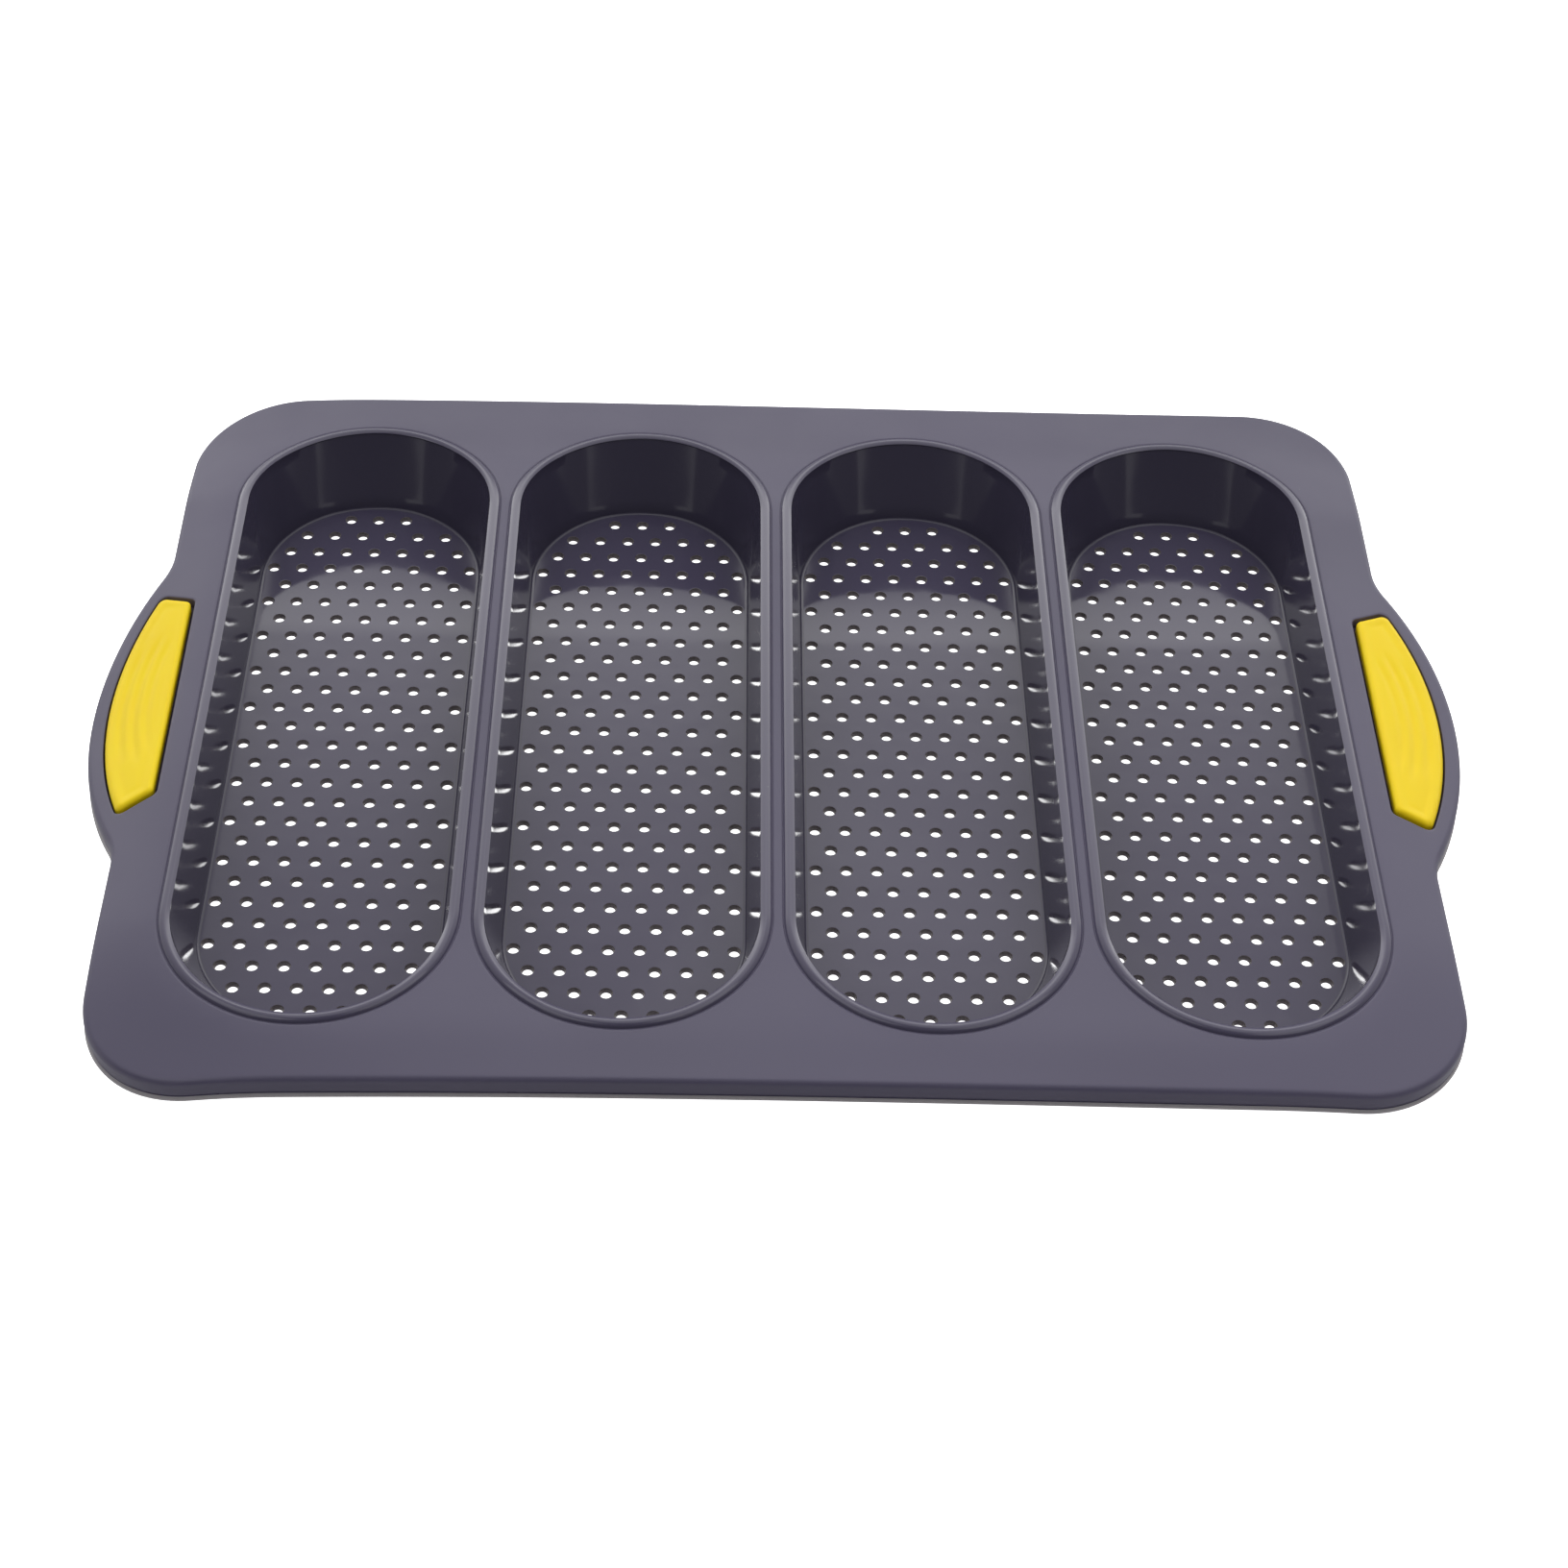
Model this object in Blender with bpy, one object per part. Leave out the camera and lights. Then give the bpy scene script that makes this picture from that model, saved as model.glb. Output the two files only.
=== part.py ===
"""Silicone baguette tray: four long wells with perforated floors in one moulded
sheet, a steel reinforcing wire inside the thick rim, and a coloured grip in the
window of each handle tab.

Frame: metres, +Z up.  The origin is under the middle of the tray, at the height
of the undersides of the wells, which the tray stands on.  +X runs along the
tray's length, from handle to handle, and the wells run along Y.
"""
import math

import bpy
import bmesh
from mathutils import Vector
from mathutils.geometry import delaunay_2d_cdt

# ---------------------------------------------------------------- dimensions
BODY_L = 0.3604          # length between the two straight short sides
BODY_W = 0.2804          # width, front to back
CORNER_R = 0.0320        # plan radius of the four corners
TAB_OUT = 0.0154         # how far a handle tab stands out of the short side
TAB_R = 0.1160           # radius of a tab's long outer curve
TAB_FILLET_R = 0.0220    # concave radius where a tab meets the short side

FLOOR_T = 0.0016         # thickness of a well's floor
WALL_T = 0.0016          # thickness of a well's wall, measured level
WELL_DEPTH = 0.0210      # floor to the top face of the rim
RIM_T = 0.0024           # thickness of the sheet between and around the wells
LIP_H = 0.0070           # height of the thick outer lip
LIP_W = 0.0056           # width of the thick outer lip
LIP_R = 0.0015           # rounding of the lip's upper edge
LIP_CHAMFER = 0.0007     # bevel of the lip's lower edge

WELL_COUNT = 4
WELL_PITCH = 0.0823      # centre to centre
OPEN_W = 0.0730          # well mouth, inside the bead
OPEN_L = 0.2400
FLOOR_W = 0.0660         # well floor
FLOOR_L = 0.2130
FLOOR_FILLET = 0.0008    # bevel where the wall meets the floor
BEAD_W = 0.0030          # raised bead around each mouth
BEAD_H = 0.0010

HOLE_D = 0.0032          # a perforation's diameter
HOLE_PITCH_X = 0.008545  # pitch along a row
HOLE_PITCH_Y = 0.007754  # pitch of the rows
HOLE_ROW_STEP = 2        # 1 opens every row, 2 every other row

WIRE_D = 0.0020          # steel wire inside the lip
WIRE_INSET = 0.0021      # wire centre, inward from the outline
WIRE_DROP = 0.0036       # wire centre, below the top face
WIRE_SIDES = 6
GAP = 0.0003             # clearance between touching pieces
PIN_L = 0.0030           # length of a wire locating slot under the lip

GRIP_INNER_X = 0.1714    # straight inner side of a grip
GRIP_W = 0.0187          # width of a grip at its middle
GRIP_HALF_L = 0.0390     # half length of the straight inner side
GRIP_END_SLANT = math.radians(26.0)
GRIP_CORNER_R = 0.0020
GRIP_PROUD = 0.0011      # how far a grip's crown stands above the rim
GRIP_FILLET = 0.0012
WINDOW_GAP_OUT = 0.0005  # visible gap around a grip: outer side
WINDOW_GAP_IN = 0.0012   # inner side
WINDOW_GAP_END = 0.0009  # short ends
LEDGE_W = 0.0014         # ledge inside the window that a grip sits on
LEDGE_DROP = 0.0034      # ledge, below the top face
RIB_INNER_X = 0.1670     # inner edge of the thick frame around a window

ARC_SEG = 11             # segments in a well's half-round end
CORNER_SEG = 8
TAB_SEG = 8              # segments in half of a tab's outer curve
TAB_FILLET_SEG = 5

# ------------------------------------------------------------ derived sizes
Z_RIM = FLOOR_T + WELL_DEPTH            # top face of the rim
Z_UNDER = Z_RIM - RIM_T                 # underside of the sheet
Z_LIP = Z_RIM - LIP_H                   # underside of the lip
HX, HY = BODY_L / 2, BODY_W / 2
TAB_CX = HX + TAB_OUT - TAB_R           # centre of a tab's outer curve
WIRE_R = WIRE_D / 2
CHANNEL_R = WIRE_R + GAP / math.cos(math.pi / WIRE_SIDES)


# ------------------------------------------------------------ plan outlines
def arc(cx, cy, r, a0, a1, n):
    return [(cx + r * math.cos(a0 + (a1 - a0) * i / n),
             cy + r * math.sin(a0 + (a1 - a0) * i / n),
             math.cos(a0 + (a1 - a0) * i / n),
             math.sin(a0 + (a1 - a0) * i / n)) for i in range(n + 1)]


def outline_stations():
    """Stations of the outer contour, anticlockwise: x, y, outward normal, tag.
    The tag marks the two ends of each wire locating slot."""
    fx = HX + TAB_FILLET_R
    fy = math.sqrt((TAB_R + TAB_FILLET_R) ** 2 - (fx - TAB_CX) ** 2)
    a1 = math.atan2(fy, fx - TAB_CX)
    quarter = [(x, y, nx, ny, None) for x, y, nx, ny in arc(TAB_CX, 0.0, TAB_R, 0.0, a1, TAB_SEG)]
    for x, y, nx, ny in arc(fx, fy, TAB_FILLET_R, a1 + math.pi, math.pi, TAB_FILLET_SEG)[1:]:
        quarter.append((x, y, -nx, -ny, None))
    mid = (fy + HY - CORNER_R) / 2
    for s in (-1, 1):
        quarter.append((HX, mid + s * PIN_L / 2, 1.0, 0.0, "short"))
    quarter += [(x, y, nx, ny, None) for x, y, nx, ny in
                arc(HX - CORNER_R, HY - CORNER_R, CORNER_R, 0.0, math.pi / 2, CORNER_SEG)]
    for k, px in enumerate((0.118, 0.042)):
        for s in (1, -1):
            quarter.append((px + s * PIN_L / 2, HY, 0.0, 1.0, "long%d" % k))
    full = []
    for sx, sy, rev in ((1, 1, False), (-1, 1, True), (-1, -1, False), (1, -1, True)):
        part = [(sx * x, sy * y, sx * nx, sy * ny, (t, sx, sy) if t else None)
                for x, y, nx, ny, t in quarter]
        if rev:
            part.reverse()
        if full and abs(full[-1][0] - part[0][0]) < 1e-9 and abs(full[-1][1] - part[0][1]) < 1e-9:
            part = part[1:]
        full += part
    if abs(full[-1][0] - full[0][0]) < 1e-9 and abs(full[-1][1] - full[0][1]) < 1e-9:
        full.pop()
    return full


STATIONS = outline_stations()


def outline(inset):
    return [(x - nx * inset, y - ny * inset) for x, y, nx, ny, _ in STATIONS]


def stadium(cx, half_w, half_l, n=ARC_SEG):
    """Long loop with half-round ends, anticlockwise from the +X side."""
    s = half_l - half_w
    top = arc(cx, s, half_w, 0.0, math.pi, n)
    bot = arc(cx, -s, half_w, math.pi, 2 * math.pi, n)
    return [(p[0], p[1]) for p in top + bot]


def smoothstep(t):
    t = min(1.0, max(0.0, t))
    return t * t * (3 - 2 * t)


def lip_inner_loop():
    """Inner edge of the thick lip, which widens inwards round each window."""
    quarter = []
    x0, y0 = HX - LIP_W, HY - LIP_W
    r = CORNER_R - LIP_W
    for i in range(9):
        y = 0.046 + (0.060 - 0.046) * i / 8
        quarter.append((x0 + (RIB_INNER_X - x0) * (1 - smoothstep((y - 0.046) / 0.014)), y))
    quarter += [(p[0], p[1]) for p in arc(x0 - r, y0 - r, r, 0.0, math.pi / 2, CORNER_SEG)]
    full = []
    for sx, sy, rev in ((1, 1, False), (-1, 1, True), (-1, -1, False), (1, -1, True)):
        part = [(sx * x, sy * y) for x, y in quarter]
        if rev:
            part.reverse()
        full += part
    return full


def grip_loop(side, inner_x, half_l, outer_r, corner_r, arc_n=12, corner_n=4):
    """Plan of a grip or of its window: straight inner side, slanted ends and an
    outer side concentric with the tab.  side is +1 for the right handle."""
    r = corner_r
    ix, ro = inner_x + r, outer_r - r
    tan_a, cos_a = math.tan(GRIP_END_SLANT), math.cos(GRIP_END_SLANT)
    c = half_l - r / cos_a                      # slanted line of the core: y = c + tan(x - inner_x)
    iy = c + tan_a * (ix - inner_x)
    # core corner where the slanted line meets the outer curve
    k = c + tan_a * (TAB_CX - inner_x)
    qa, qb, qc = 1 + tan_a ** 2, 2 * tan_a * k, k * k - ro * ro
    dx = (-qb + math.sqrt(qb * qb - 4 * qa * qc)) / (2 * qa)
    ox, oy = TAB_CX + dx, k + tan_a * dx
    ao = math.atan2(oy, ox - TAB_CX)
    end_n = math.pi / 2 + GRIP_END_SLANT        # outward normal of the upper end
    pts = [(TAB_CX + outer_r * math.cos(ao * t), outer_r * math.sin(ao * t))
           for t in [-1 + 2 * i / arc_n for i in range(arc_n + 1)]]
    pts += [(p[0], p[1]) for p in arc(ox, oy, r, ao, end_n, corner_n)][1:]
    pts += [(p[0], p[1]) for p in arc(ix, iy, r, end_n, math.pi, corner_n)]
    low = [(p[0], p[1]) for p in arc(ix, -iy, r, math.pi, 2 * math.pi - end_n, corner_n)]
    low += [(p[0], p[1]) for p in arc(ox, -oy, r, 2 * math.pi - end_n, 2 * math.pi - ao, corner_n)][:-1]
    pts += low
    if side < 0:
        pts = [(-x, y) for x, y in reversed(pts)]
    return pts


def hole_centres(cx):
    """Staggered perforations of one floor."""
    out = []
    for v in range(-13, 14):
        if v % HOLE_ROW_STEP:
            continue
        a = abs(v)
        if a == 13:
            cols = (-1.0, 0.0, 1.0)
        elif a == 12:
            cols = [i - 2.5 for i in range(6)]
        elif a % 2:
            cols = [i - 3.0 for i in range(7)]
        else:
            cols = [i - 3.5 for i in range(8)]
        out += [(cx + u * HOLE_PITCH_X, v * HOLE_PITCH_Y) for u in cols]
    return out


# ---------------------------------------------------------------- mesh tools
def add_loop(bm, pts, z):
    return [bm.verts.new((x, y, z)) for x, y in pts]


def bridge(bm, low, high, skip=()):
    """Quads between two loops of the same count.  With both loops
    anticlockwise, the faces look outwards when high is above low."""
    n = len(low)
    for i in range(n):
        if i in skip:
            continue
        j = (i + 1) % n
        bm.faces.new((low[i], low[j], high[j], high[i]))


def inside(poly, x, y):
    hit = False
    n = len(poly)
    for i in range(n):
        x0, y0 = poly[i]
        x1, y1 = poly[(i + 1) % n]
        if (y0 > y) != (y1 > y) and x < x0 + (y - y0) * (x1 - x0) / (y1 - y0):
            hit = not hit
    return hit


def cap(bm, outer, holes, up):
    """Flat face with holes, triangulated.  up says which way it looks."""
    loops = [outer] + list(holes)
    verts, edges = [], []
    for lp in loops:
        base = len(verts)
        verts += lp
        edges += [(base + i, base + (i + 1) % len(lp)) for i in range(len(lp))]
    # centimetres keep the triangulation well inside its tolerance
    co = [Vector((v.co.x * 100, v.co.y * 100)) for v in verts]
    _, _, faces, orig, _, _ = delaunay_2d_cdt(co, edges, [], 0, 1e-7, True)
    polys = [[(v.co.x, v.co.y) for v in lp] for lp in loops]
    for f in faces:
        vs = [verts[orig[i][0]] for i in f]
        x = sum(v.co.x for v in vs) / 3
        y = sum(v.co.y for v in vs) / 3
        if not inside(polys[0], x, y) or any(inside(p, x, y) for p in polys[1:]):
            continue
        area = ((vs[1].co.x - vs[0].co.x) * (vs[2].co.y - vs[0].co.y)
                - (vs[2].co.x - vs[0].co.x) * (vs[1].co.y - vs[0].co.y))
        if (area > 0) != up:
            vs.reverse()
        bm.faces.new(vs)


def make_object(name, bm, mat, smooth_angle=35.0):
    bm.normal_update()
    me = bpy.data.meshes.new(name)
    bm.to_mesh(me)
    bm.free()
    me.shade_smooth()
    me.set_sharp_from_angle(angle=math.radians(smooth_angle))
    me.materials.append(mat)
    ob = bpy.data.objects.new(name, me)
    bpy.context.scene.collection.objects.link(ob)
    return ob


def material(name, color, roughness, metallic=0.0):
    mat = bpy.data.materials.new(name)
    mat.use_nodes = True
    b = mat.node_tree.nodes["Principled BSDF"]
    b.inputs["Base Color"].default_value = (*color, 1.0)
    b.inputs["Roughness"].default_value = roughness
    b.inputs["Metallic"].default_value = metallic
    mat.diffuse_color = (*color, 1.0)
    return mat


# -------------------------------------------------------------------- pieces
def window_loops(side):
    r_out = HX + TAB_OUT - TAB_CX
    inner = GRIP_INNER_X - WINDOW_GAP_IN
    half = GRIP_HALF_L + WINDOW_GAP_END
    outer_r = GRIP_INNER_X + GRIP_W - TAB_CX + WINDOW_GAP_OUT
    upper = grip_loop(side, inner, half, outer_r, GRIP_CORNER_R + 0.0006)
    lower = grip_loop(side, inner + LEDGE_W, half - LEDGE_W * 0.6, outer_r - LEDGE_W, GRIP_CORNER_R)
    assert outer_r < r_out
    return upper, lower


def tray_body(mat):
    bm = bmesh.new()
    n = len(STATIONS)

    # outer skin of the lip, from its top edge down and under
    q = LIP_R * (1 - math.sqrt(0.5))
    top = add_loop(bm, outline(LIP_R), Z_RIM)
    l1 = add_loop(bm, outline(q), Z_RIM - q)
    l2 = add_loop(bm, outline(0.0), Z_RIM - LIP_R)
    l3 = add_loop(bm, outline(0.0), Z_LIP + LIP_CHAMFER)
    l4 = add_loop(bm, outline(LIP_CHAMFER), Z_LIP)
    for lo, hi in ((l1, top), (l2, l1), (l3, l2), (l4, l3)):
        bridge(bm, lo, hi)

    # underside: inner wall of the lip
    b_pts = lip_inner_loop()
    b_low = add_loop(bm, b_pts, Z_LIP)
    b_high = add_loop(bm, b_pts, Z_UNDER)
    bridge(bm, b_high, b_low)

    # wells
    bead_outer, under_holes = [], []
    for w in range(WELL_COUNT):
        cx = (w - (WELL_COUNT - 1) / 2) * WELL_PITCH
        ow, ol = OPEN_W / 2, OPEN_L / 2
        fw, fl = FLOOR_W / 2, FLOOR_L / 2
        base = add_loop(bm, stadium(cx, ow + BEAD_W, ol + BEAD_W), Z_RIM)
        c1 = add_loop(bm, stadium(cx, ow + BEAD_W * 0.70, ol + BEAD_W * 0.70), Z_RIM + BEAD_H)
        c2 = add_loop(bm, stadium(cx, ow + BEAD_W * 0.30, ol + BEAD_W * 0.30), Z_RIM + BEAD_H)
        mouth = add_loop(bm, stadium(cx, ow, ol), Z_RIM - 0.0001)
        # the wall runs straight from the mouth to just above the floor
        t = FLOOR_FILLET / WELL_DEPTH
        wall = add_loop(bm, stadium(cx, fw + (ow - fw) * t, fl + (ol - fl) * t), FLOOR_T + FLOOR_FILLET)
        floor = add_loop(bm, stadium(cx, fw - FLOOR_FILLET * 0.6, fl - FLOOR_FILLET * 0.2), FLOOR_T)
        bridge(bm, base, c1)
        bridge(bm, c1, c2)
        bridge(bm, c2, mouth)
        bridge(bm, mouth, wall)
        bridge(bm, wall, floor)
        # outside of the well
        t = (Z_UNDER - FLOOR_T) / WELL_DEPTH
        u1 = add_loop(bm, stadium(cx, fw + (ow - fw) * t + WALL_T, fl + (ol - fl) * t + WALL_T * 1.3), Z_UNDER)
        u2 = add_loop(bm, stadium(cx, fw + WALL_T, fl + WALL_T * 1.3), 0.0011)
        u3 = add_loop(bm, stadium(cx, fw + WALL_T - 0.0011, fl + WALL_T * 1.3 - 0.0011), 0.0)
        bridge(bm, u2, u1)
        bridge(bm, u3, u2)
        # perforated floor
        # each perforation is a square duct with the round hole's area
        hr = HOLE_D * math.sqrt(math.pi) / 4
        tops, bots = [], []
        for hx, hy in hole_centres(cx):
            ring = [(hx + hr * sx, hy + hr * sy) for sx, sy in ((1, 1), (-1, 1), (-1, -1), (1, -1))]
            a, b = add_loop(bm, ring, FLOOR_T), add_loop(bm, ring, 0.0)
            bridge(bm, a, b)
            tops.append(a)
            bots.append(b)
        cap(bm, floor, tops, True)
        cap(bm, u3, bots, False)
        bead_outer.append(base)
        under_holes.append(u1)

    # handle windows, stepped by the ledge that carries the grip
    win_top, win_low = [], []
    for side in (1, -1):
        up_pts, lo_pts = window_loops(side)
        a = add_loop(bm, up_pts, Z_RIM)
        b = add_loop(bm, up_pts, Z_RIM - LEDGE_DROP)
        c = add_loop(bm, lo_pts, Z_RIM - LEDGE_DROP)
        d = add_loop(bm, lo_pts, Z_LIP)
        bridge(bm, a, b)
        bridge(bm, b, c)
        bridge(bm, c, d)
        win_top.append(a)
        win_low.append(d)

    # wire channel inside the lip, open to the underside at the locating slots
    slots = [i for i in range(n) if STATIONS[i][4] and STATIONS[i][4] == STATIONS[(i + 1) % n][4]]
    z_wire = Z_RIM - WIRE_DROP
    rings = []
    for k in range(WIRE_SIDES):
        a = math.pi * 2 * (k + 0.5) / WIRE_SIDES - math.pi / 2
        rings.append(add_loop(bm, outline(WIRE_INSET - CHANNEL_R * math.cos(a)), z_wire + CHANNEL_R * math.sin(a)))
    slot_loops = []
    for k in range(WIRE_SIDES):
        # ring k to ring k+1 runs anticlockwise round the section, seen along the wire
        nxt = rings[(k + 1) % WIRE_SIDES]
        bottom = k == WIRE_SIDES - 1
        for i in range(n):
            j = (i + 1) % n
            if bottom and i in slots:
                quad = [rings[k][i], nxt[i], nxt[j], rings[k][j]]
                low = [bm.verts.new((v.co.x, v.co.y, Z_LIP)) for v in quad]
                for m in range(4):
                    p = (m + 1) % 4
                    bm.faces.new((quad[m], quad[p], low[p], low[m]))
                slot_loops.append(low)
                continue
            bm.faces.new((rings[k][i], nxt[i], nxt[j], rings[k][j]))

    cap(bm, top, bead_outer + win_top, True)
    cap(bm, b_high, under_holes, False)
    cap(bm, l4, [b_low] + win_low + slot_loops, False)
    bmesh.ops.recalc_face_normals(bm, faces=bm.faces)
    return make_object("tray_body", bm, mat)


def rim_wire(mat):
    bm = bmesh.new()
    z_wire = Z_RIM - WIRE_DROP
    rings = []
    for k in range(WIRE_SIDES):
        a = math.pi * 2 * (k + 0.5) / WIRE_SIDES - math.pi / 2
        rings.append(add_loop(bm, outline(WIRE_INSET - WIRE_R * math.cos(a)), z_wire + WIRE_R * math.sin(a)))
    for k in range(WIRE_SIDES):
        bridge(bm, rings[k], rings[(k + 1) % WIRE_SIDES])
    bmesh.ops.recalc_face_normals(bm, faces=bm.faces)
    return make_object("rim_wire", bm, mat, 50.0)


def grip(name, side, mat):
    bm = bmesh.new()
    outer_r = GRIP_INNER_X + GRIP_W - TAB_CX
    inner = GRIP_INNER_X

    def ring(inset, z):
        return add_loop(bm, grip_loop(side, inner + inset, GRIP_HALF_L - inset * 0.6,
                                      outer_r - inset, GRIP_CORNER_R), z)
    stem = LEDGE_W - WINDOW_GAP_OUT + GAP
    stem_in = WINDOW_GAP_IN
    lower = grip_loop(side, inner - stem_in + LEDGE_W + GAP, GRIP_HALF_L + WINDOW_GAP_END - LEDGE_W * 0.6 - GAP * 1.6,
                      outer_r - stem, GRIP_CORNER_R)
    z_seat = Z_RIM - LEDGE_DROP + GAP
    zs = [(lower, Z_LIP + 0.0002), (lower, z_seat)]
    loops = [add_loop(bm, p, z) for p, z in zs]
    crown = Z_RIM + GRIP_PROUD
    loops.append(ring(0.0, z_seat))
    loops.append(ring(0.0, crown - GRIP_FILLET - 0.0004))
    loops.append(ring(GRIP_FILLET * 0.3, crown - GRIP_FILLET * 0.3 - 0.0004))
    loops.append(ring(GRIP_FILLET, crown - 0.0004))
    loops.append(ring(GRIP_FILLET * 2.6, crown))
    for lo, hi in zip(loops, loops[1:]):
        bridge(bm, lo, hi)
    cap(bm, loops[0], [], False)
    cap(bm, loops[-1], [], True)
    bmesh.ops.recalc_face_normals(bm, faces=bm.faces)
    return make_object(name, bm, mat)


def main():
    for ob in list(bpy.data.objects):
        bpy.data.objects.remove(ob, do_unlink=True)
    grey = material("silicone_grey", (0.125, 0.118, 0.155), 0.42)
    yellow = material("grip_yellow", (1.0, 0.72, 0.03), 0.45)
    yellow_2 = material("grip_yellow_right", (1.0, 0.72, 0.03), 0.45)
    steel = material("wire_steel", (0.62, 0.62, 0.60), 0.30, 1.0)
    tray_body(grey)
    rim_wire(steel)
    grip("left_grip", -1, yellow)
    grip("right_grip", 1, yellow_2)


main()
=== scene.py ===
import math

import bpy
import numpy as np
from mathutils import Matrix, Vector, noise
from mathutils.geometry import delaunay_2d_cdt


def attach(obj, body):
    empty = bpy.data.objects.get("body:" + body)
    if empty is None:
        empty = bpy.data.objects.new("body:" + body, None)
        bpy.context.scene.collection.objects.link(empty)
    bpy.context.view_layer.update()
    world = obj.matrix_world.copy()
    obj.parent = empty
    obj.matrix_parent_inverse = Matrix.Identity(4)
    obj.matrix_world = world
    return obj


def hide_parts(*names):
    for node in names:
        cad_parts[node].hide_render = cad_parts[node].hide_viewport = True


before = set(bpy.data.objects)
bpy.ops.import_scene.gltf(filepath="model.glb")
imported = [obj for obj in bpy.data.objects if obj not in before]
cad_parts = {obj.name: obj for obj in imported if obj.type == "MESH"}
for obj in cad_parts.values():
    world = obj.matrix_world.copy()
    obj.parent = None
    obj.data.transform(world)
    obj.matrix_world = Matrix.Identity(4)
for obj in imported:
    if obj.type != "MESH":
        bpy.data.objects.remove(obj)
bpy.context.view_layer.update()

# ------------------------------------------------------------------ sizes (m)
BODY_L, BODY_W, CORNER_R = 0.3604, 0.2804, 0.0320
TAB_OUT, TAB_R, TAB_FILLET_R = 0.0154, 0.1160, 0.0220
FLOOR_T, WALL_T, WELL_DEPTH, RIM_T = 0.0016, 0.0016, 0.0210, 0.0024
LIP_H, LIP_W, LIP_R = 0.0070, 0.0056, 0.0015
WELL_COUNT, WELL_PITCH = 4, 0.0823
OPEN_W, OPEN_L, FLOOR_W, FLOOR_L = 0.0730, 0.2400, 0.0660, 0.2130
FLOOR_FILLET = 0.0008
BEAD_W, BEAD_H = 0.0030, 0.0010
HOLE_TOP_D, HOLE_LOW_D, HOLE_ROUND = 0.00350, 0.00285, 0.00014
HOLE_PITCH_X, HOLE_PITCH_Y = 0.008545, 0.007754
WIRE_D, WIRE_INSET, WIRE_DROP, GAP, PIN_L = 0.0020, 0.0021, 0.0036, 0.0003, 0.0030
GRIP_INNER_X, GRIP_W, GRIP_HALF_L = 0.1714, 0.0187, 0.0390
GRIP_END_SLANT, GRIP_CORNER_R, GRIP_PROUD = math.radians(26.0), 0.0020, 0.0011
WINDOW_GAP_OUT, WINDOW_GAP_IN, WINDOW_GAP_END = 0.0005, 0.0012, 0.0009
LEDGE_W, LEDGE_DROP, RIB_INNER_X = 0.0014, 0.0034, 0.1670

HOLE_SEG = 28
ARC_SEG = 72
CORNER_SEG = 30

Z_RIM = FLOOR_T + WELL_DEPTH
Z_UNDER = Z_RIM - RIM_T
Z_LIP = Z_RIM - LIP_H
HX, HY = BODY_L / 2, BODY_W / 2
TAB_CX = HX + TAB_OUT - TAB_R
WELL_X = [(w - (WELL_COUNT - 1) / 2) * WELL_PITCH for w in range(WELL_COUNT)]

# material indices on the tray
SATIN, GLOSS, UNDER, HOLE, SIDE, BEAD, FLOOR, EDGE = range(8)


# ------------------------------------------------------------- plan outlines
def arc(cx, cy, r, a0, a1, n):
    return [(cx + r * math.cos(a0 + (a1 - a0) * i / n), cy + r * math.sin(a0 + (a1 - a0) * i / n),
             math.cos(a0 + (a1 - a0) * i / n), math.sin(a0 + (a1 - a0) * i / n)) for i in range(n + 1)]


def mirror_quarters(quarter, tag=False):
    full = []
    for sx, sy, rev in ((1, 1, False), (-1, 1, True), (-1, -1, False), (1, -1, True)):
        part = []
        for p in quarter:
            q = [sx * p[0], sy * p[1]]
            if len(p) > 2:
                q += [sx * p[2], sy * p[3]]
            if tag:
                q.append((p[4], sx, sy) if p[4] else None)
            part.append(tuple(q))
        if rev:
            part.reverse()
        if full and abs(full[-1][0] - part[0][0]) < 1e-9 and abs(full[-1][1] - part[0][1]) < 1e-9:
            part = part[1:]
        full += part
    if abs(full[-1][0] - full[0][0]) < 1e-9 and abs(full[-1][1] - full[0][1]) < 1e-9:
        full.pop()
    return full


def straight(x0, y0, x1, y1, nx, ny, step):
    n = max(1, int(round(math.hypot(x1 - x0, y1 - y0) / step)))
    return [(x0 + (x1 - x0) * i / n, y0 + (y1 - y0) * i / n, nx, ny) for i in range(n + 1)]


def outline_stations(step=0.004):
    fx = HX + TAB_FILLET_R
    fy = math.sqrt((TAB_R + TAB_FILLET_R) ** 2 - (fx - TAB_CX) ** 2)
    a1 = math.atan2(fy, fx - TAB_CX)
    q = [(*p, None) for p in arc(TAB_CX, 0.0, TAB_R, 0.0, a1, 22)]
    q += [(x, y, -nx, -ny, None) for x, y, nx, ny in arc(fx, fy, TAB_FILLET_R, a1 + math.pi, math.pi, 12)[1:]]
    mid = (fy + HY - CORNER_R) / 2
    q += [(*p, None) for p in straight(HX, fy, HX, mid - PIN_L / 2, 1, 0, step)[1:-1]]
    q += [(HX, mid - PIN_L / 2, 1.0, 0.0, "s"), (HX, mid + PIN_L / 2, 1.0, 0.0, "s")]
    q += [(*p, None) for p in straight(HX, mid + PIN_L / 2, HX, HY - CORNER_R, 1, 0, step)[1:-1]]
    q += [(*p, None) for p in arc(HX - CORNER_R, HY - CORNER_R, CORNER_R, 0.0, math.pi / 2, CORNER_SEG)]
    last = HX - CORNER_R
    for k, px in enumerate((0.118, 0.042)):
        q += [(*p, None) for p in straight(last, HY, px + PIN_L / 2, HY, 0, 1, step)[1:-1]]
        q += [(px + PIN_L / 2, HY, 0.0, 1.0, "l%d" % k), (px - PIN_L / 2, HY, 0.0, 1.0, "l%d" % k)]
        last = px - PIN_L / 2
    q += [(*p, None) for p in straight(last, HY, 0.0, HY, 0, 1, step)[1:]]
    return mirror_quarters(q, True)


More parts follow.
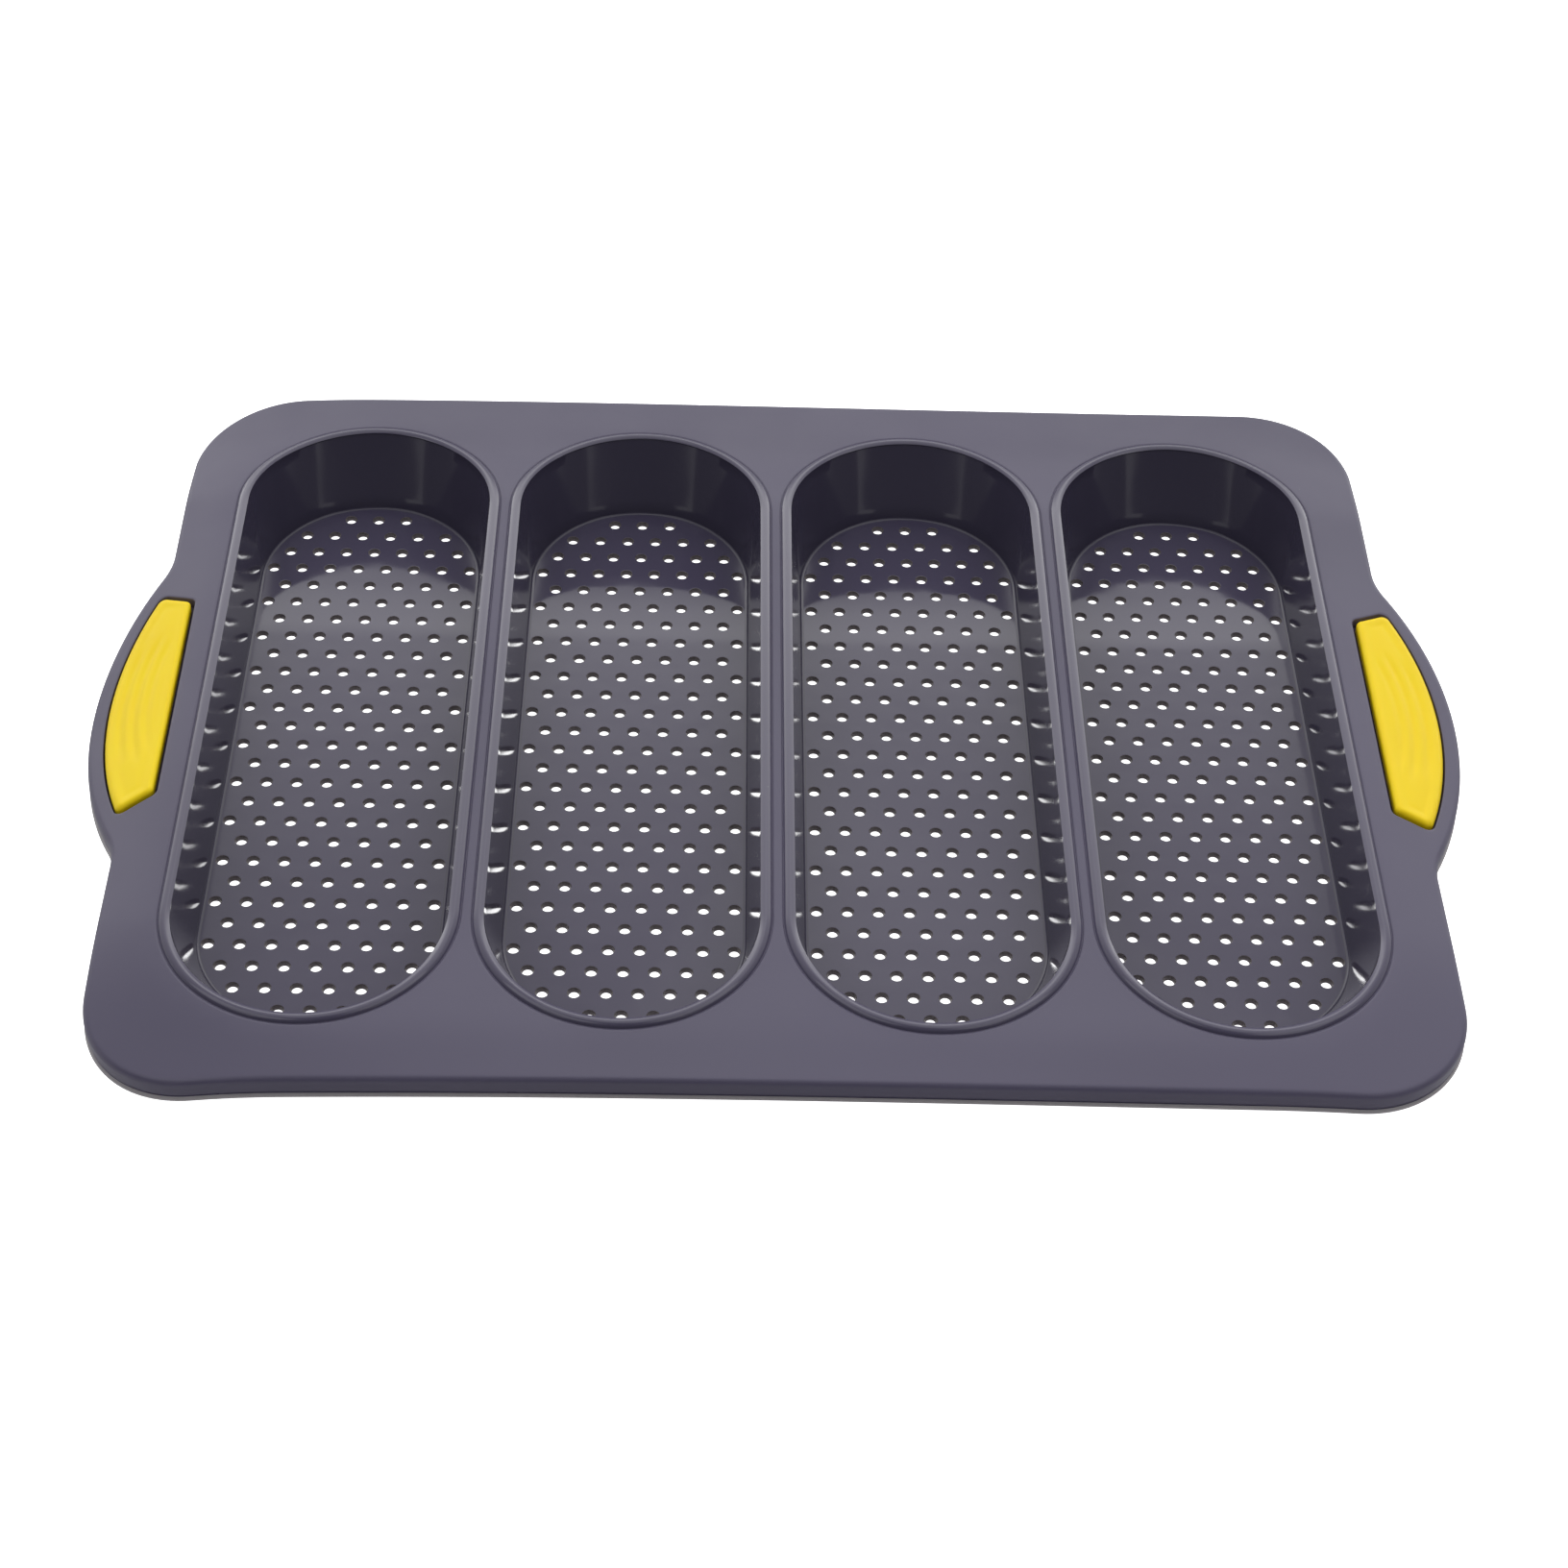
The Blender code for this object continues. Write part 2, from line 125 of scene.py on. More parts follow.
STATIONS = outline_stations()


def outline(inset):
    return [(x - nx * inset, y - ny * inset) for x, y, nx, ny, _ in STATIONS]


def stadium(cx, half_w, half_l, n=None, step=0.006):
    n = n or ARC_SEG
    s = half_l - half_w
    m = max(2, int(round(2 * 0.0839 / step)))     # same count on every loop of a well
    pts = [(p[0], p[1]) for p in arc(cx, s, half_w, 0.0, math.pi, n)]
    pts += [(cx - half_w, s - 2 * s * i / m) for i in range(1, m)]
    pts += [(p[0], p[1]) for p in arc(cx, -s, half_w, math.pi, 2 * math.pi, n)]
    pts += [(cx + half_w, -s + 2 * s * i / m) for i in range(1, m)]
    return pts


def smooth01(t):
    t = min(1.0, max(0.0, t))
    return t * t * (3 - 2 * t)


def lip_inner_loop(grow=0.0):
    x0, y0 = HX - LIP_W - grow, HY - LIP_W - grow
    r = CORNER_R - LIP_W - grow
    rib = RIB_INNER_X - grow
    q = [(rib, 0.046 * i / 12) for i in range(12)]
    q += [(x0 + (rib - x0) * (1 - smooth01(i / 14)), 0.046 + 0.014 * i / 14) for i in range(15)]
    q += [(x0, 0.060 + (y0 - r - 0.060) * i / 10) for i in range(1, 10)]
    q += [(p[0], p[1]) for p in arc(x0 - r, y0 - r, r, 0.0, math.pi / 2, CORNER_SEG)]
    q += [((x0 - r) * (1 - i / 30), y0) for i in range(1, 31)]
    return mirror_quarters(q)


def grip_loop(side, inner_x, half_l, outer_r, corner_r, arc_n=40, corner_n=10, side_n=24, end_n=6):
    r = corner_r
    ix, ro = inner_x + r, outer_r - r
    tan_a, cos_a = math.tan(GRIP_END_SLANT), math.cos(GRIP_END_SLANT)
    c = half_l - r / cos_a
    iy = c + tan_a * (ix - inner_x)
    k = c + tan_a * (TAB_CX - inner_x)
    qa, qb, qc = 1 + tan_a ** 2, 2 * tan_a * k, k * k - ro * ro
    dx = (-qb + math.sqrt(qb * qb - 4 * qa * qc)) / (2 * qa)
    ox, oy = TAB_CX + dx, k + tan_a * dx
    ao = math.atan2(oy, ox - TAB_CX)
    en = math.pi / 2 + GRIP_END_SLANT
    half = [(TAB_CX + outer_r * math.cos(ao * i / (arc_n // 2)), outer_r * math.sin(ao * i / (arc_n // 2)))
            for i in range(arc_n // 2)]
    half += [(p[0], p[1]) for p in arc(ox, oy, r, ao, en, corner_n)]
    a, b = half[-1], (ix + r * math.cos(en), iy + r * math.sin(en))
    half += [(a[0] + (b[0] - a[0]) * i / end_n, a[1] + (b[1] - a[1]) * i / end_n) for i in range(1, end_n)]
    half += [(p[0], p[1]) for p in arc(ix, iy, r, en, math.pi, corner_n)]
    half += [(inner_x, iy * (1 - i / (side_n // 2))) for i in range(1, side_n // 2 + 1)]
    pts = half + [(x, -y) for x, y in reversed(half[1:-1])]
    return [(-x, y) for x, y in reversed(pts)] if side < 0 else pts


def hole_centres(cx):
    out = []
    for v in range(-13, 14):
        a = abs(v)
        if a == 13:
            cols = (-1.0, 0.0, 1.0)
        elif a == 12:
            cols = [i - 2.5 for i in range(6)]
        elif a % 2:
            cols = [i - 3.0 for i in range(7)]
        else:
            cols = [i - 3.5 for i in range(8)]
        out += [(cx + u * HOLE_PITCH_X, v * HOLE_PITCH_Y) for u in cols]
    return out


# ------------------------------------------------------------- mesh building
class Build:
    """Collects vertices and faces, each face with its material index."""

    def __init__(self):
        self.v, self.f, self.m = [], [], []

    def loop(self, pts, z):
        base = len(self.v)
        if callable(z):
            self.v += [(x, y, z(x, y)) for x, y in pts]
        else:
            self.v += [(x, y, z) for x, y in pts]
        return list(range(base, len(self.v)))

    def bridge(self, low, high, mat, flip=False):
        n = len(low)
        for i in range(n):
            j = (i + 1) % n
            q = (low[i], low[j], high[j], high[i])
            self.f.append(q[::-1] if flip else q)
            self.m.append(mat)

    def chain(self, loops, mats, flip=False):
        for k in range(len(loops) - 1):
            self.bridge(loops[k], loops[k + 1], mats[k] if isinstance(mats, (list, tuple)) else mats, flip)

    def cap(self, outer, holes, up, mat, steiner=()):
        loops = [outer] + list(holes)
        idx, edges, owner = [], [], []
        for li, lp in enumerate(loops):
            b = len(idx)
            idx += lp
            owner += [li] * len(lp)
            edges += [(b + i, b + (i + 1) % len(lp)) for i in range(len(lp))]
        z = self.v[outer[0]][2]
        for x, y in steiner:
            self.v.append((x, y, z))
            idx.append(len(self.v) - 1)
            owner.append(-1)
        co = [Vector((self.v[i][0] * 100, self.v[i][1] * 100)) for i in idx]
        _, _, faces, orig, _, _ = delaunay_2d_cdt(co, edges, [], 0, 1e-7, True)
        polys = {}
        for f in faces:
            k = [orig[i][0] for i in f]
            own = {owner[i] for i in k}
            if len(own) == 1 and -1 not in own:
                li = own.pop()
                if li not in polys:
                    polys[li] = np.array([(p[0], p[1]) for p, o in zip(co, owner) if o == li])
                # tested on the triangulated points, so that slivers on straight sides agree
                cx = sum(co[i][0] for i in k) / 3
                cy = sum(co[i][1] for i in k) / 3
                if in_poly(polys[li], cx, cy) != (li == 0):
                    continue
            a, b, c = (co[i] for i in k)
            area = (b[0] - a[0]) * (c[1] - a[1]) - (c[0] - a[0]) * (b[1] - a[1])
            t = tuple(idx[i] for i in k)
            self.f.append(t if (area > 0) == up else t[::-1])
            self.m.append(mat)

    def object(self, name, mats, angle=32.0):
        me = bpy.data.meshes.new(name)
        me.from_pydata(self.v, [], self.f)
        me.polygons.foreach_set("material_index", self.m)
        for m in mats:
            me.materials.append(m)
        me.validate()
        me.shade_smooth()
        me.set_sharp_from_angle(angle=math.radians(angle))
        me.update()
        ob = bpy.data.objects.new(name, me)
        bpy.context.scene.collection.objects.link(ob)
        return ob


def in_poly(poly, x, y):
    x0, y0 = poly[:, 0], poly[:, 1]
    x1, y1 = np.roll(x0, -1), np.roll(y0, -1)
    c = (y0 > y) != (y1 > y)
    with np.errstate(divide="ignore", invalid="ignore"):
        xi = x0 + (y - y0) * (x1 - x0) / (y1 - y0)
    return bool(np.count_nonzero(c & (x < xi)) % 2)


def dist_to_poly(poly, pts):
    """Smallest distance of each point to a closed polyline."""
    p = np.asarray(pts)[:, None, :]
    a = poly[None, :, :]
    d = np.roll(poly, -1, 0)[None, :, :] - a
    t = np.clip(((p - a) * d).sum(2) / np.maximum((d * d).sum(2), 1e-18), 0, 1)
    return np.sqrt((((a + t[..., None] * d) - p) ** 2).sum(2)).min(1)


def steiner_grid(outer, holes, step, margin):
    outer = np.array(outer)
    xs = np.arange(outer[:, 0].min(), outer[:, 0].max(), step)
    ys = np.arange(outer[:, 1].min(), outer[:, 1].max(), step * 0.866)
    g = [(x + (step / 2 if j % 2 else 0), y) for j, y in enumerate(ys) for x in xs]
    g = np.array(g)
    keep = np.array([in_poly(outer, x, y) for x, y in g])
    for h in holes:
        h = np.array(h)
        keep &= ~np.array([in_poly(h, x, y) for x, y in g])
    g = g[keep]
    ok = dist_to_poly(outer, g) > margin
    for h in holes:
        ok &= dist_to_poly(np.array(h), g) > margin
    return [tuple(p) for p in g[ok]]


# The wells stand on the ground, and the soft rim outside them hangs a little:
# most at the corners and at the left handle, least in the middle of the front.
HULL_X, HULL_Y, HULL_R = 0.16295, 0.12335, 0.0395
HANG = (2.287, 0.438, -0.090, 1.772, -1.701, 0.073, -1.749, -1.002)


def smooth_step(t):
    t = min(1.0, max(0.0, t))
    return t * t * (3 - 2 * t)


def back_sag(y, z):
    """The back ends of the wells hang too; their floors stay on the ground."""
    return 0.0022 * smooth_step((y - 0.086) / 0.034) * min(1.0, max(0.0, (z - 0.0030) / (Z_RIM - 0.0030)))


def sag(x, y):
    qx, qy = abs(x) - (HULL_X - HULL_R), abs(y) - (HULL_Y - HULL_R)
    d = math.hypot(max(qx, 0.0), max(qy, 0.0)) + min(max(qx, qy), 0.0) - HULL_R
    if d <= 0.0:
        return 0.0
    u, v = x / 0.178, y / 0.138
    k = HANG
    amount = (k[0] + k[1] * u + k[2] * v + k[3] * u * u + k[4] * v * v + k[5] * u * v
              + k[6] * u ** 3 + k[7] * u * u * v)
    return 0.001 * max(0.0, amount) * (math.sqrt(d * d + 9e-6) - 0.003) / 0.015


def settle(build):
    build.v = [(x, y, z - sag(x, y) - back_sag(y, z)) for x, y, z in build.v]


# ------------------------------------------------------------------- the tray
def window_loops(side):
    inner = GRIP_INNER_X - WINDOW_GAP_IN
    half = GRIP_HALF_L + WINDOW_GAP_END
    outer_r = GRIP_INNER_X + GRIP_W - TAB_CX + WINDOW_GAP_OUT
    return inner, half, outer_r


def make_tray(mats):
    b = Build()
    n = len(STATIONS)
    # lip: support loop on the flat, rounded upper edge, side, a fine groove and
    # the rolled lower edge
    side = 0.00030
    loops = [b.loop(outline(side + LIP_R + 0.0006), Z_RIM), b.loop(outline(side + LIP_R), Z_RIM)]
    for i in range(1, 9):
        a = math.pi / 2 * i / 8
        loops.append(b.loop(outline(side + LIP_R * (1 - math.sin(a))), Z_RIM - LIP_R * (1 - math.cos(a))))
    for off, drop in ((0.00002, 0.0030), (0.00008, 0.0042), (0.00024, 0.0050), (0.00042, 0.00532), (0.00046, 0.00548)):
        loops.append(b.loop(outline(side + off), Z_RIM - drop))
    roll, z_roll = 0.00072, Z_RIM - 0.00622
    for i in range(0, 9):
        a = math.pi * (0.44 - 0.94 * i / 8)
        loops.append(b.loop(outline(roll * (1 - math.cos(a))), z_roll + roll * math.sin(a)))
    loops.append(b.loop(outline(roll + 0.0003), Z_LIP))
    loops.append(b.loop(outline(roll + 0.0008), Z_LIP))
    # the rolled lower edge (EDGE) takes a pale grey material: a painted reflection of the white floor below
    b.chain(loops, [SATIN] * 12 + [SIDE] * 3 + [EDGE] * (len(loops) - 17) + [UNDER, UNDER], flip=True)
    top, low = loops[0], loops[-1]

    # inner wall of the lip, with small rounds
    inner = [b.loop(lip_inner_loop(-0.0009), Z_LIP), b.loop(lip_inner_loop(-0.0006), Z_LIP),
             b.loop(lip_inner_loop(-0.0002), Z_LIP + 0.0002), b.loop(lip_inner_loop(0.0), Z_LIP + 0.0006),
             b.loop(lip_inner_loop(0.0), Z_UNDER - 0.0009), b.loop(lip_inner_loop(0.0003), Z_UNDER - 0.0003),
             b.loop(lip_inner_loop(0.0009), Z_UNDER), b.loop(lip_inner_loop(0.0013), Z_UNDER)]
    b.chain(inner, UNDER, flip=True)

    bead_outer, under_holes = [], []
    for cx in WELL_X:
        ow, ol, fw, fl = OPEN_W / 2, OPEN_L / 2, FLOOR_W / 2, FLOOR_L / 2
        ls, ms = [], []

        def add(off_w, off_l, z, mat):
            ls.append(b.loop(stadium(cx, off_w, off_l), z))
            ms.append(mat)
        # bead: fine groove at its foot, round crown, then over into the wall
        for off, dz in ((0.00120, 0.0), (0.00070, -0.00001), (0.00045, -0.00010), (0.00024, -0.00030), (0.00008, -0.00026)):
            add(ow + BEAD_W + off, ol + BEAD_W + off, Z_RIM + dz, SATIN)
        for i in range(1, 15):
            t = i / 14
            up = math.sin(math.pi * (0.02 + 0.84 * t ** 0.92)) ** 0.80
            add(ow + BEAD_W * (1 - t), ol + BEAD_W * (1 - t), Z_RIM + BEAD_H * up, BEAD)
        # wall below the mouth
        steps = 7
        z_low = FLOOR_T + FLOOR_FILLET
        for i in range(0, steps + 1):
            t = i / steps
            z = (Z_RIM + 0.00012) * (1 - t) + z_low * t
            h = (z - FLOOR_T) / WELL_DEPTH
            bow = 0.00022 * math.sin(math.pi * t)     # the wall is very slightly bowed out
            add(fw + (ow - fw) * h - 0.00004 * (1 - t) + bow, fl + (ol - fl) * h - 0.00004 * (1 - t) + bow, z, GLOSS)
        # fillet into the floor
        w0, l0 = fw + (ow - fw) * FLOOR_FILLET / WELL_DEPTH, fl + (ol - fl) * FLOOR_FILLET / WELL_DEPTH
        aw, al = math.atan2(WELL_DEPTH, ow - fw), math.atan2(WELL_DEPTH, ol - fl)
        for i in range(1, 5):
            t = i / 4
            s = math.sin(math.pi / 2 * t)
            c = 1 - math.cos(math.pi / 2 * t)
            add(w0 - FLOOR_FILLET * 0.80 * c, l0 - FLOOR_FILLET * 0.95 * c, z_low - FLOOR_FILLET * s, GLOSS)
        add(w0 - FLOOR_FILLET * 0.80 - 0.0003, l0 - FLOOR_FILLET * 0.95 - 0.0003, FLOOR_T, GLOSS)
        b.chain(ls, ms[1:] + [GLOSS])
        floor = ls[-1]
        # outside of the well
        us = []
        t = (Z_UNDER - FLOOR_T) / WELL_DEPTH
        uw, ul = fw + (ow - fw) * t + WALL_T, fl + (ol - fl) * t + WALL_T * 1.3
        bw, bl = fw + WALL_T, fl + WALL_T * 1.3
        for dw, z in ((0.0016, Z_UNDER), (0.0010, Z_UNDER), (0.0003, Z_UNDER - 0.0003), (0.0, Z_UNDER - 0.0010)):
            us.append(b.loop(stadium(cx, uw + dw, ul + dw), z))
        for i in range(1, 5):
            t = i / 5
            us.append(b.loop(stadium(cx, uw + (bw - uw) * t, ul + (bl - ul) * t),
                             (Z_UNDER - 0.0010) * (1 - t) + 0.0013 * t))
        for i in range(0, 6):
            a = math.pi / 2 * i / 5
            us.append(b.loop(stadium(cx, bw - 0.0013 * (1 - math.cos(a)), bl - 0.0013 * (1 - math.cos(a))),
                             0.0013 * (1 - math.sin(a))))
        us.append(b.loop(stadium(cx, bw - 0.0018, bl - 0.0018), 0.0))
        b.chain(us, UNDER, flip=True)
        # perforations: chamfered at both ends
        tops, bots = [], []
        rt, rl, c = HOLE_TOP_D / 2, HOLE_LOW_D / 2, HOLE_ROUND
        for hx, hy in hole_centres(cx):
            def ring(rr, z, hx=hx, hy=hy):
                return b.loop([(hx + rr * math.cos(2 * math.pi * i / HOLE_SEG),
                                hy + rr * math.sin(2 * math.pi * i / HOLE_SEG)) for i in range(HOLE_SEG)], z)
            rs = [ring(rt + c * 1.9, FLOOR_T), ring(rt + c, FLOOR_T), ring(rt + c * 0.42, FLOOR_T - c * 0.18), ring(rt + c * 0.10, FLOOR_T - c * 0.55),
                  ring(rt, FLOOR_T - c), ring(rl, 0.00012), ring(rl + 0.00010, 0.0), ring(rl + 0.00025, 0.0)]
            b.chain(rs, [FLOOR] + [HOLE] * (len(rs) - 3) + [UNDER])
            tops.append(rs[0])
            bots.append(rs[-1])
        b.cap(floor, tops, True, FLOOR)
        b.cap(us[-1], bots, False, UNDER)
        bead_outer.append(ls[0])
        under_holes.append(us[0])

    # windows
    win_top, win_low = [], []
    for side in (1, -1):
        ix, hl, ro = window_loops(side)

        def wl(d, z, r=0.0026):
            return b.loop(grip_loop(side, ix + d, hl - d * 0.6, ro - d, r), z)
        ws = [wl(-0.0008, Z_RIM), wl(-0.0004, Z_RIM), wl(-0.0001, Z_RIM - 0.0001), wl(0.0, Z_RIM - 0.0004),
              wl(0.0, Z_RIM - LEDGE_DROP), wl(LEDGE_W, Z_RIM - LEDGE_DROP, 0.0020),
              wl(LEDGE_W, Z_LIP + 0.0003, 0.0020), wl(LEDGE_W - 0.0003, Z_LIP, 0.0020)]
        b.chain(ws, [SATIN, SATIN, SATIN, UNDER, UNDER, UNDER, UNDER])
        win_top.append(ws[0])
        win_low.append(ws[-1])

    # wire channel, open below at the locating slots
    sides, z_wire, ch = 12, Z_RIM - WIRE_DROP, WIRE_D / 2 + GAP
    slots = {i for i in range(n) if STATIONS[i][4] and STATIONS[i][4] == STATIONS[(i + 1) % n][4]}
    rings = []
    for s in range(sides):
        a = math.pi * 2 * (s + 0.5) / sides - math.pi / 2
        rings.append(b.loop(outline(WIRE_INSET - ch * math.cos(a)), z_wire + ch * math.sin(a)))
    slot_loops = []
    for s in range(sides):
        cur, nxt = rings[s], rings[(s + 1) % sides]
        for i in range(n):
            j = (i + 1) % n
            q = (cur[i], nxt[i], nxt[j], cur[j])
            if s == sides - 1 and i in slots:
                # q runs round the slot; its four walls go down to the underside
                lw = [b.loop([(b.v[p][0], b.v[p][1])], Z_LIP)[0] for p in q]
                for m in range(4):
                    p = (m + 1) % 4
                    b.f.append((q[m], q[p], lw[p], lw[m]))
                    b.m.append(UNDER)
                slot_loops.append(lw)
                continue
            b.f.append(q)
            b.m.append(UNDER)

    xy = lambda lp: [(b.v[i][0], b.v[i][1]) for i in lp]
    b.cap(top, bead_outer + win_top, True, SATIN,
          steiner_grid(xy(top), [xy(h) for h in bead_outer + win_top], 0.006, 0.0022))
    b.cap(inner[-1], under_holes, False, UNDER,
          steiner_grid(xy(inner[-1]), [xy(h) for h in under_holes], 0.008, 0.003))
    b.cap(low, [inner[0]] + win_low + slot_loops, False, UNDER)
    settle(b)
    ob = b.object("tray", mats)
    import bmesh
    bm = bmesh.new()
    bm.from_mesh(ob.data)
    bmesh.ops.recalc_face_normals(bm, faces=bm.faces)
    bad = [e for e in bm.edges if len(e.link_faces) != 2]
    print("tray: %d verts, %d faces, %d open or odd edges, volume %.1f cm3"
          % (len(bm.verts), len(bm.faces), len(bad), bm.calc_volume() * 1e6))
    bm.to_mesh(ob.data)
    bm.free()
    return ob


def make_wire(mat):
    b = Build()
    sides, z_wire, r = 12, Z_RIM - WIRE_DROP, WIRE_D / 2
    rings = []
    for s in range(sides):
        a = math.pi * 2 * (s + 0.5) / sides - math.pi / 2
        rings.append(b.loop(outline(WIRE_INSET - r * math.cos(a)), z_wire + r * math.sin(a)))
    for s in range(sides):
        b.bridge(rings[s], rings[(s + 1) % sides], 0)
    settle(b)
    return b.object("reinforcing_wire", [mat], 60.0)


def grip_crown(x, y, side):
    """Height of a grip's top face: a soft crown with shallow crescent grooves
    that run parallel to the tab's edge."""
    rad = math.hypot(abs(x) - TAB_CX, y)
    outer_r = GRIP_INNER_X + GRIP_W - TAB_CX
    d = outer_r - rad                          # distance in from the outer curve
    t = min(1.0, max(0.0, d / GRIP_W))
    z = -0.0003 * (2 * t - 1) ** 2 - 0.00025 * (y / 0.043) ** 2
    for d0, half, depth in ((0.0044, 0.0260, 0.00044), (0.0082, 0.0285, 0.00056), (0.0119, 0.0250, 0.00040)):
        k = 1 - (y / half) ** 2
        if k > 0:
            z -= depth * smooth01(k * 1.5) * math.exp(-((d - d0 - 0.0006 * (y / half) ** 2) / 0.00115) ** 2)
    return z


def make_grip(name, side, mat):
    b = Build()
    outer_r = GRIP_INNER_X + GRIP_W - TAB_CX
    ix, hl, ro = window_loops(side)

    def ring(inset, z):
        r = max(0.0006, GRIP_CORNER_R - inset * 0.35)
        return b.loop(grip_loop(side, GRIP_INNER_X + inset, GRIP_HALF_L - inset * 0.6, outer_r - inset, r), z)
    seat = Z_RIM - LEDGE_DROP + GAP
    top = Z_RIM + GRIP_PROUD - 0.0002
    f = 0.0015
    lower = grip_loop(side, ix + LEDGE_W + GAP, hl - LEDGE_W * 0.6 - GAP * 1.6, ro - LEDGE_W - GAP, 0.0018)
    loops = [b.loop(lower, Z_LIP + 0.0002), b.loop(lower, seat), ring(0.0001, seat), ring(0.0, seat + 0.0003),
             ring(0.0, top - f)]
    for i in range(1, 7):
        a = math.pi / 2 * i / 6
        loops.append(ring(f * (1 - math.cos(a)), top - f * (1 - math.sin(a))))
    loops.append(ring(f + 0.0005, top))
    b.chain(loops, 0)
    b.cap(loops[0], [], False, 0)
    edge = [(b.v[i][0], b.v[i][1]) for i in loops[-1]]
    first = len(b.v)
    b.cap(loops[-1], [], True, 0, steiner_grid(edge, [], 0.00055, 0.0004))
    blend_w = 0.0022
    pts = np.array([(v[0], v[1]) for v in b.v[first:]])
    d = dist_to_poly(np.array(edge), pts) if len(pts) else []
    for i, dist in enumerate(d):
        x, y, z = b.v[first + i]
        b.v[first + i] = (x, y, z + grip_crown(x, y, side) * smooth01(dist / blend_w) + 0.0002 * smooth01(dist / 0.004))
    settle(b)
    uses = {}
    for f_ in b.f:
        for i, j in zip(f_, f_[1:] + f_[:1]):
            uses[min(i, j), max(i, j)] = uses.get((min(i, j), max(i, j)), 0) + 1
    print("%s: %d open or odd edges" % (name, sum(1 for n in uses.values() if n != 2)))
    ob = b.object(name, [mat], 50.0)
    return ob


# ------------------------------------------------------------------ materials
def new_mat(name):
    m = bpy.data.materials.new(name)
    m.use_nodes = True
    nt = m.node_tree
    bsdf = nt.nodes["Principled BSDF"]
    return m, nt, bsdf


def node(nt, kind, **inputs):
    nd = nt.nodes.new(kind)
    for k, v in inputs.items():
        nd.inputs[k.replace("_", " ")].default_value = v
    return nd


def math_node(tree, op, a, b_=None, clamp=False):
    nd = tree.nodes.new("ShaderNodeMath")
    nd.operation = op
    nd.use_clamp = clamp
    for i, v in enumerate((a, b_)):
        if v is None:
            continue
        if isinstance(v, (int, float)):
            nd.inputs[i].default_value = v
        else:
            tree.links.new(v, nd.inputs[i])
    return nd.outputs[0]


def ramp(nt, src, stops):
    r = nt.nodes.new("ShaderNodeValToRGB")
    el = r.color_ramp.elements
    while len(el) < len(stops):
        el.new(0.5)
    for e, (p, c) in zip(el, stops):
        e.position = p
        e.color = (*c, 1.0) if isinstance(c, tuple) else (c, c, c, 1.0)
    nt.links.new(src, r.inputs[0])
    return r.outputs[0]


